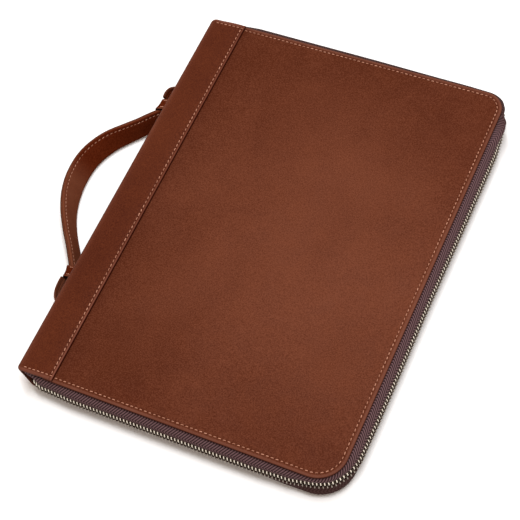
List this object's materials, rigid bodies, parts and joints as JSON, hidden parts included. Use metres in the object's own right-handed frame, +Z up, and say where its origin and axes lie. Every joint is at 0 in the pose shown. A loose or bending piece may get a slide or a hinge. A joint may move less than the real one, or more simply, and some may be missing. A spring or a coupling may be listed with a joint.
{
  "type": "zip-round leather document case",
  "caption": "Flat leather case that opens like a book, closed by a metal zip on its long and short edges, with a strap handle held by leather keepers on its spine.",
  "frame": {"origin": "on the floor, under the middle of the covers, at the centre of the back cover's outer face", "axes": "+X from the spine to the long zip edge, +Y to the top edge, +Z up out of the front cover"},
  "size_m": [0.3218, 0.3627, 0.0281],
  "materials": {
    "cover_leather": "matte waxed brown",
    "spine_leather": "matte waxed brown",
    "strap_leather": "matte waxed dark brown",
    "zip_tape": "woven herringbone",
    "zip_metal": "antique brass",
    "thread": "tan sewing thread"
  },
  "bodies": {
    "root": {"front_cover": "cover_leather", "back_cover": "cover_leather", "spine_panel": "spine_leather", "zip_tape_front": "zip_tape", "zip_tape_back": "zip_tape", "zip_chain": "zip_metal", "zip_slider": "zip_metal", "handle_strap": "strap_leather", "keeper_top": "strap_leather", "keeper_bottom": "strap_leather"}
  },
  "joints": []
}
